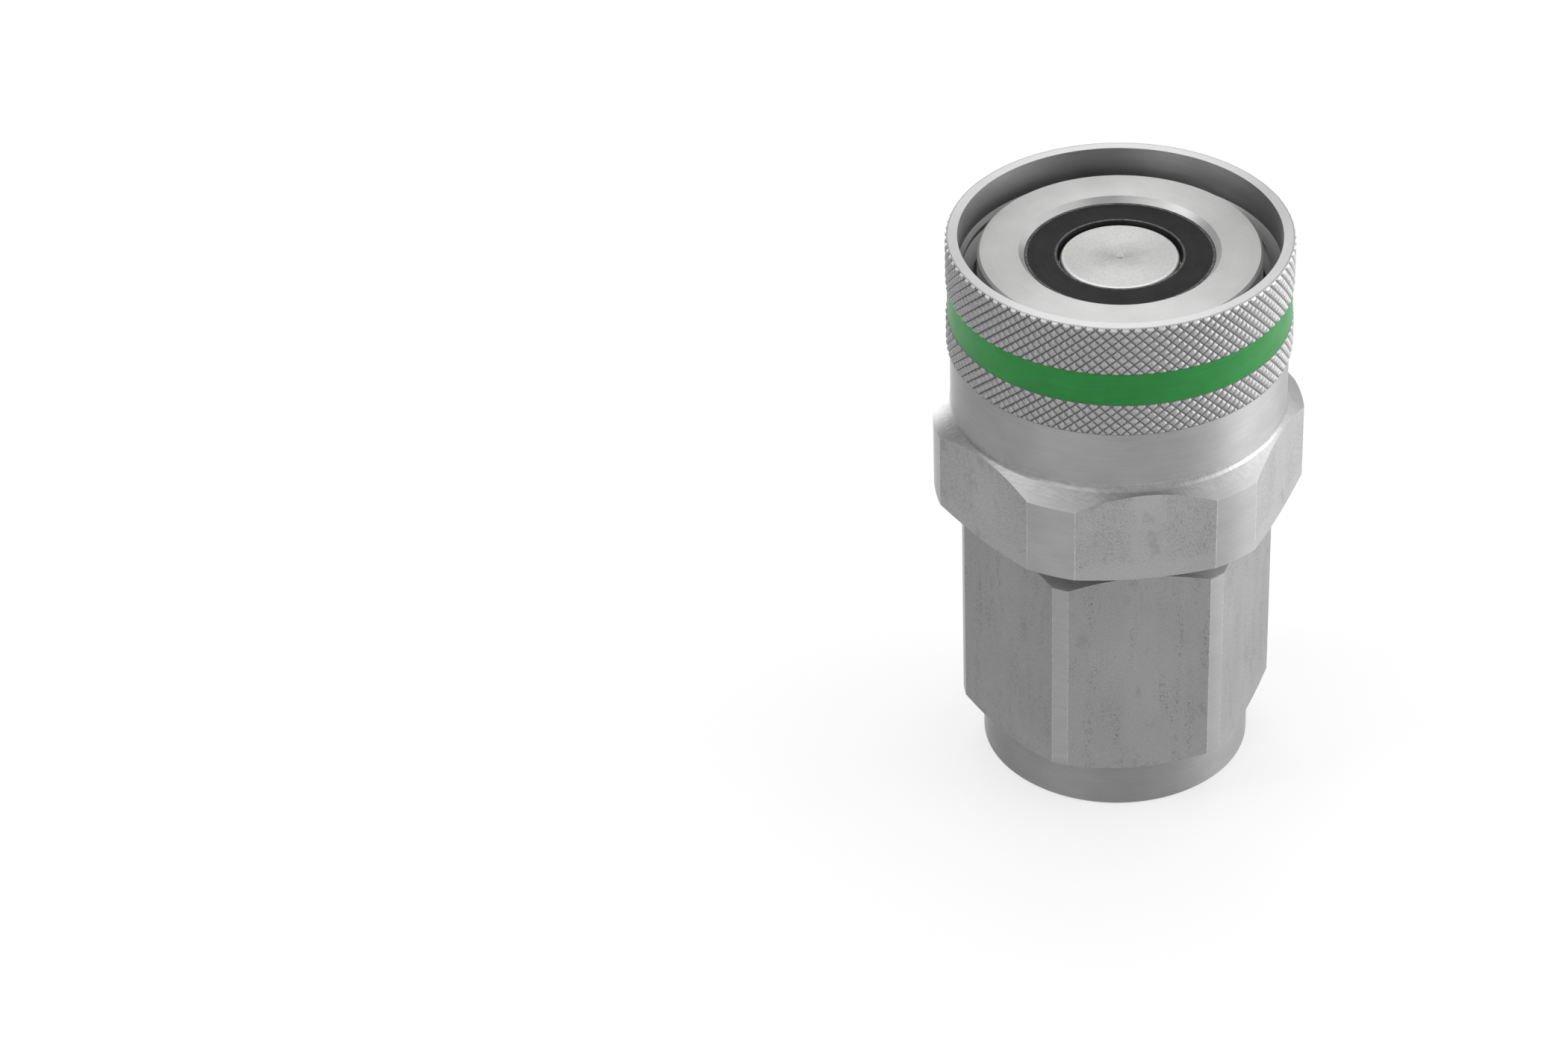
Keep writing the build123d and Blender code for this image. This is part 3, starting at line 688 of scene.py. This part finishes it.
def blackened_steel(colour):
    """Blackened turned steel, with a broken painted highlight along the two thin lips in the flat
    face.
    """
    material, tree = new_material("Blackened turned steel")
    place = place_in_mm(tree)
    rings = lathe_rings(tree, place, 0.2)
    shade = node(tree, "ShaderNodeMapRange", (rings, 0.3, 0.7, 0.92, 1.05))
    level = node(tree, "ShaderNodeSeparateXYZ", (place,)).outputs[2]
    # Painted highlight: the lips' top faces are lightened in broken patches.
    face = SLEEVE_TOP / MM - 0.04
    lip = node(tree, "ShaderNodeMath", (level, face), operation="GREATER_THAN")
    lip_highlight = mottling(tree, place, 0.5, detail=3.0)
    lip_highlight = node(tree, "ShaderNodeMapRange", (lip_highlight, 0.35, 0.65, 0.0, 1.4))
    shade = node(tree, "ShaderNodeMath", (lip, lip_highlight, shade), operation="MULTIPLY_ADD")
    height = node(tree, "ShaderNodeMath", (rings, 0.4), operation="MULTIPLY")
    steel(tree, (*colour, 1), shade, TURNED_ROUGHNESS, height, depth=0.01, spread=RING_SPREAD)
    return material


def wire_steel():
    """Drawn spring wire: darker oiled steel with fine drawing marks."""
    material, tree = new_material("Drawn spring steel")
    marks = mottling(tree, place_in_mm(tree), 0.25, detail=3.0)
    shade = node(tree, "ShaderNodeMapRange", (marks, 0.3, 0.7, 0.9, 1.08))
    oiled = (*linear("#8E8F92"), 1)
    steel(tree, oiled, shade, roughness=0.35, height=marks, depth=0.01)
    return material


def plastic(name, colour, roughness, ior, grain_size, grain_depth, variation):
    """A turned or moulded plastic or rubber: one mottled colour and faint rings round the axis."""
    material, tree = new_material(name)
    place = place_in_mm(tree)
    low, high = 1 - variation, 1 + variation
    grain = lathe_rings(tree, place, grain_size)
    marks = node(tree, "ShaderNodeMapRange", (grain, 0.3, 0.7, low, high))
    shade = mottling(tree, place, 3.0, detail=4.0)
    shade = node(tree, "ShaderNodeMapRange", (shade, 0.35, 0.65, low, high))
    shade = node(tree, "ShaderNodeMath", (shade, marks), operation="MULTIPLY")
    tint = node(tree, "ShaderNodeMix", {"Factor": 1.0, 6: (*colour, 1), 7: shade},
                data_type="RGBA", blend_type="MULTIPLY").outputs[2]
    bump = node(tree, "ShaderNodeBump",
                {"Strength": 1.0, "Distance": grain_depth * MM, "Height": grain})
    surface = node(tree, "ShaderNodeBsdfPrincipled",
                   {"Base Color": tint, "Roughness": roughness, "IOR": ior, "Normal": bump})
    node(tree, "ShaderNodeOutputMaterial", {"Surface": surface})
    return material


def dress(material, *names):
    """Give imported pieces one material."""
    for name in names:
        slots = frame["nodes"][name].data.materials
        slots.clear()
        slots.append(material)


class COUPLING_OT_plated_pieces(bpy.types.Operator):
    """Finish the nut and the two bodies in zinc plated steel"""

    bl_idname = "coupling.plated_pieces"
    bl_label = "Finish nut and bodies"

    def execute(self, context):
        colours = context.scene.coupling_colours
        nut = plated_bar("Zinc plated nut bar", colours.plated, NUT_HALF_FLATS, NUT_CORNER,
                         NUT_LOW, NUT_CONE, pitting=1.0, corner_highlight=0.0)
        dress(nut, "union_nut")
        body = plated_bar("Zinc plated body bar", colours.body, BODY_HALF_FLATS, BODY_CORNER,
                          BODY_HEXAGON_LOW, BODY_CONE, pitting=0.2, corner_highlight=0.14)
        dress(body, "rear_body", "front_body")
        return {"FINISHED"}


class COUPLING_OT_face_pieces(bpy.types.Operator):
    """Finish the flat face: the bright ring and disc, the dark sleeve and its black ring"""

    bl_idname = "coupling.face_pieces"
    bl_label = "Finish flat face"

    def execute(self, context):
        colours = context.scene.coupling_colours
        bright = turned_steel("Bright turned steel", colours.turned, roughness=0.46)
        dress(bright, "front_ring")
        dress(disc_steel(colours.turned), "stem")
        dress(blackened_steel(colours.blackened), "seal_sleeve")
        ring = plastic("Hard black sealing ring", colours.seal_black, roughness=0.6, ior=1.22,
                       grain_size=0.3, grain_depth=0.01, variation=0.3)
        dress(ring, "face_seal")
        return {"FINISHED"}


class COUPLING_OT_colour_band(bpy.types.Operator):
    """Finish the colour band in green plastic"""

    bl_idname = "coupling.colour_band"
    bl_label = "Finish colour band"

    def execute(self, context):
        green = plastic("Green polyamide", context.scene.coupling_colours.band_green,
                        roughness=0.4, ior=1.35, grain_size=0.35, grain_depth=0.008,
                        variation=0.07)
        dress(green, "colour_band")
        return {"FINISHED"}


def shortening_spring(name, material):
    """Stand a merged copy, hung on the fixed body, for a packed spring that its joint deforms, and
    hide the packed one.
    """
    wire = bmesh.new()
    wire.from_mesh(frame["nodes"][name].data)
    bmesh.ops.remove_doubles(wire, verts=wire.verts, dist=0.001 * MM)
    mesh = bpy.data.meshes.new(name + "_coil")
    wire.to_mesh(mesh)
    wire.free()
    mesh.shade_smooth()
    mesh.set_sharp_from_angle(angle=radians(40))
    mesh.materials.clear()
    mesh.materials.append(material)
    coil = bpy.data.objects.new(name + "_coil", mesh)
    bpy.context.scene.collection.objects.link(coil)
    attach(coil, "fixed_body")
    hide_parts(name)
    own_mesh(coil)


class COUPLING_OT_springs(bpy.types.Operator):
    """Finish the two springs and the wire clips, and stand copies of the springs on the fixed body
    """

    bl_idname = "coupling.springs"
    bl_label = "Finish springs and clips"

    def execute(self, context):
        wire = wire_steel()
        dress(wire, "stem_clip", "nut_wire_ring", "front_ring_clip")
        for joint in frame["record"]["behaviour"]["joints"]:
            for spring in joint.get("deforming_nodes", ()):
                shortening_spring(spring["node"], wire)
        return {"FINISHED"}


class COUPLING_OT_inner_pieces(bpy.types.Operator):
    """Finish the seals, the stem's spider and the spring washer"""

    bl_idname = "coupling.inner_pieces"
    bl_label = "Finish inner pieces"

    def execute(self, context):
        black = context.scene.coupling_colours.seal_black
        rubber = plastic("Nitrile rubber", black, roughness=0.55, ior=1.5,
                         grain_size=0.5, grain_depth=0.01, variation=0.1)
        dress(rubber, "body_seal", "tube_seal", "nut_dust_seal", "sleeve_seal")
        white = plastic("White backup plastic", linear("#E6E3DA"), roughness=0.5, ior=1.38,
                        grain_size=0.5, grain_depth=0.01, variation=0.03)
        dress(white, "tube_backup_ring", "sleeve_backup_ring")
        plain = turned_steel("Plain turned steel", linear("#B9B9BA"), roughness=0.4)
        dress(plain, "stem_spider", "spring_washer")
        return {"FINISHED"}


# ---------------------------------------------------------------- studio

WHITE = (1, 1, 1, 1)
FLOOR_REACH = 3.0  # metres from the middle to each side
FLOOR_WHITE = 0.65  # share of plain white in the paper where it is seen
MIDDLE = (0, 0, 0.05)  # where the softboxes point

# Each softbox's name, place, width, height and power in watts, and the setting that dims it.
SOFTBOXES = (
    ("key_softbox", (0.8, 0.15, 0.22), 1.0, 0.4, 2.3, "key_power"),
    ("front_key_softbox", (0.5, -0.3, 0.2), 0.5, 0.4, 0.9, "key_power"),
    ("low_key_softbox", (0.35, -0.05, 0.06), 0.3, 0.12, 0.75, "key_power"),
    ("top_softbox", (0.1, 0.3, 1.0), 0.8, 0.8, 4.4, "top_power"),
    ("back_softbox", (0.0, 0.9, 0.35), 0.5, 0.3, 0.75, "top_power"),
    ("fill_softbox", (-0.8, -0.04, 0.65), 0.6, 0.6, 3.3, "fill_power"),
    ("front_fill_softbox", (-0.5, -0.6, 0.35), 0.4, 0.4, 1.0, "fill_power"),
    ("edge_softbox", (-0.2, 0.42, 0.04), 0.2, 0.08, 0.55, "fill_power"),
)

# The dark cards' corners: one in front keeps the nut's cone, and one the left side, from shining.
FRONT_FLAG = ((-0.06, -0.42, 0.28), (0.2, -0.42, 0.28), (0.2, -0.15, 0.58), (-0.06, -0.15, 0.58))
LEFT_FLAG = ((-0.28, -0.15, 0), (-0.28, 0.35, 0), (-0.28, 0.35, 0.2), (-0.28, -0.15, 0.2))

# The camera that was fitted to the photograph's edges: its place, and what is right and up in it.
SENSOR_WIDTH = 36.0
CAMERA_PLACE = Vector((-0.09921, -0.59296, 0.46919))
CAMERA_RIGHT = Vector((0.99407, -0.10471, -0.02956))
CAMERA_UP = Vector((0.08494, 0.57707, 0.81227))


def seen_directly(tree):
    """1 where the backdrop is seen, also in a reflection, and 0 where it only lights."""
    path = node(tree, "ShaderNodeLightPath").outputs
    seen = node(tree, "ShaderNodeMath", (path["Is Camera Ray"], path["Is Glossy Ray"]),
                operation="MAXIMUM")
    return node(tree, "ShaderNodeMath", (seen, path["Is Transmission Ray"]), operation="MAXIMUM")


def paper_floor(colour):
    """Matt white paper. Where it is seen it is lifted to white, and keeps part of the shadow."""
    material, tree = new_material("White paper floor")
    paper = node(tree, "ShaderNodeBsdfDiffuse", {"Color": (*colour, 1)})
    white = node(tree, "ShaderNodeEmission", {"Color": WHITE, "Strength": 1.0})
    share = node(tree, "ShaderNodeMath", (seen_directly(tree), FLOOR_WHITE), operation="MULTIPLY")
    mixed = node(tree, "ShaderNodeMixShader", (share, paper, white))
    node(tree, "ShaderNodeOutputMaterial", {"Surface": mixed})
    return material


def white_room(ambient):
    """A white world where it is seen, and a plain soft light where it only lights."""
    world = bpy.data.worlds.new("White room")
    bpy.context.scene.world = world
    world.use_nodes = True
    tree = world.node_tree
    tree.nodes.clear()
    strength = node(tree, "ShaderNodeMix", {"Factor": seen_directly(tree), 2: ambient, 3: 1.0})
    light = node(tree, "ShaderNodeBackground", {"Color": WHITE, "Strength": strength})
    node(tree, "ShaderNodeOutputWorld", {"Surface": light})


def dark_cloth():
    """Matt dark cloth of the flags."""
    material, tree = new_material("Dark cloth")
    cloth = node(tree, "ShaderNodeBsdfDiffuse", {"Color": (*linear("#3A3A3A"), 1)})
    node(tree, "ShaderNodeOutputMaterial", {"Surface": cloth})
    return material


def facing(place, target):
    """A matrix that stands at a place and looks at a target."""
    turn = (Vector(target) - Vector(place)).to_track_quat("-Z", "Y")
    return Matrix.Translation(place) @ turn.to_matrix().to_4x4()


def softbox(name, place, width, height, power):
    """A rectangular area lamp that points at the middle of the coupling."""
    lamp = bpy.data.lights.new(name, "AREA")
    lamp.shape = "RECTANGLE"
    lamp.size = width
    lamp.size_y = height
    lamp.energy = power
    box = bpy.data.objects.new(name, lamp)
    box.matrix_world = facing(place, MIDDLE)
    box.visible_camera = False
    bpy.context.scene.collection.objects.link(box)


def card(name, corners, material):
    """A flat quadrilateral of the stage."""
    mesh = bpy.data.meshes.new(name)
    mesh.from_pydata(corners, [], [(0, 1, 2, 3)])
    mesh.materials.append(material)
    flat = bpy.data.objects.new(name, mesh)
    bpy.context.scene.collection.objects.link(flat)
    return flat


def flag(name, corners, cloth):
    """A dark card outside the picture, seen only in reflections."""
    dark = card(name, corners, cloth)
    dark.visible_camera = False
    dark.visible_diffuse = False
    dark.visible_shadow = False


class COUPLING_OT_studio(bpy.types.Operator):
    """Add the floor, the white room, the softboxes, the flags and the camera"""

    bl_idname = "coupling.studio"
    bl_label = "Add studio"

    def execute(self, context):
        settings = context.scene.coupling_studio
        corners = [(east * FLOOR_REACH, north * FLOOR_REACH, 0)
                   for east, north in ((-1, -1), (1, -1), (1, 1), (-1, 1))]
        card("floor", corners, paper_floor(settings.floor_colour))
        white_room(settings.ambient)
        for name, place, width, height, power, share in SOFTBOXES:
            softbox(name, place, width, height, power * getattr(settings, share))
        cloth = dark_cloth()
        flag("front_flag", FRONT_FLAG, cloth)
        flag("left_flag", LEFT_FLAG, cloth)

        lens = bpy.data.cameras.new("camera")
        lens.lens = settings.lens
        lens.sensor_width = SENSOR_WIDTH
        camera = bpy.data.objects.new("camera", lens)
        turn = Matrix((CAMERA_RIGHT, CAMERA_UP, CAMERA_RIGHT.cross(CAMERA_UP))).transposed()
        camera.matrix_world = Matrix.Translation(CAMERA_PLACE) @ turn.to_4x4()
        context.scene.collection.objects.link(camera)
        context.scene.camera = camera
        context.scene.view_settings.view_transform = "Standard"
        return {"FINISHED"}


# ---------------------------------------------------------------- add-on


class COUPLING_PT_panel(bpy.types.Panel):
    """Sizes, colours and steps of the coupling"""

    bl_idname = "COUPLING_PT_panel"
    bl_label = "Flat Face Coupling"
    bl_space_type = "VIEW_3D"
    bl_region_type = "UI"
    bl_category = "Coupling"

    def draw(self, context):
        for group in SETTINGS:
            settings = getattr(context.scene, group)
            box = self.layout.box()
            for name in settings.__annotations__:
                box.prop(settings, name)
        for step in STEPS:
            self.layout.operator(step.bl_idname)


SETTINGS = {
    "coupling_knurl": KnurlSizes,
    "coupling_colours": FinishColours,
    "coupling_studio": StudioSettings,
}
STEPS = (
    COUPLING_OT_knurl,
    COUPLING_OT_plated_pieces,
    COUPLING_OT_face_pieces,
    COUPLING_OT_colour_band,
    COUPLING_OT_springs,
    COUPLING_OT_inner_pieces,
    COUPLING_OT_studio,
)


def register():
    for kind in (*SETTINGS.values(), *STEPS, COUPLING_PT_panel):
        bpy.utils.register_class(kind)
    for name, kind in SETTINGS.items():
        setattr(bpy.types.Scene, name, bpy.props.PointerProperty(type=kind))


def unregister():
    for name in SETTINGS:
        delattr(bpy.types.Scene, name)
    for kind in reversed((*SETTINGS.values(), *STEPS, COUPLING_PT_panel)):
        bpy.utils.unregister_class(kind)


def main():
    """Build everything."""
    register()
    bpy.ops.coupling.knurl()
    bpy.ops.coupling.plated_pieces()
    bpy.ops.coupling.face_pieces()
    bpy.ops.coupling.colour_band()
    bpy.ops.coupling.springs()
    bpy.ops.coupling.inner_pieces()
    bpy.ops.coupling.studio()


if __name__ == "__main__":
    main()
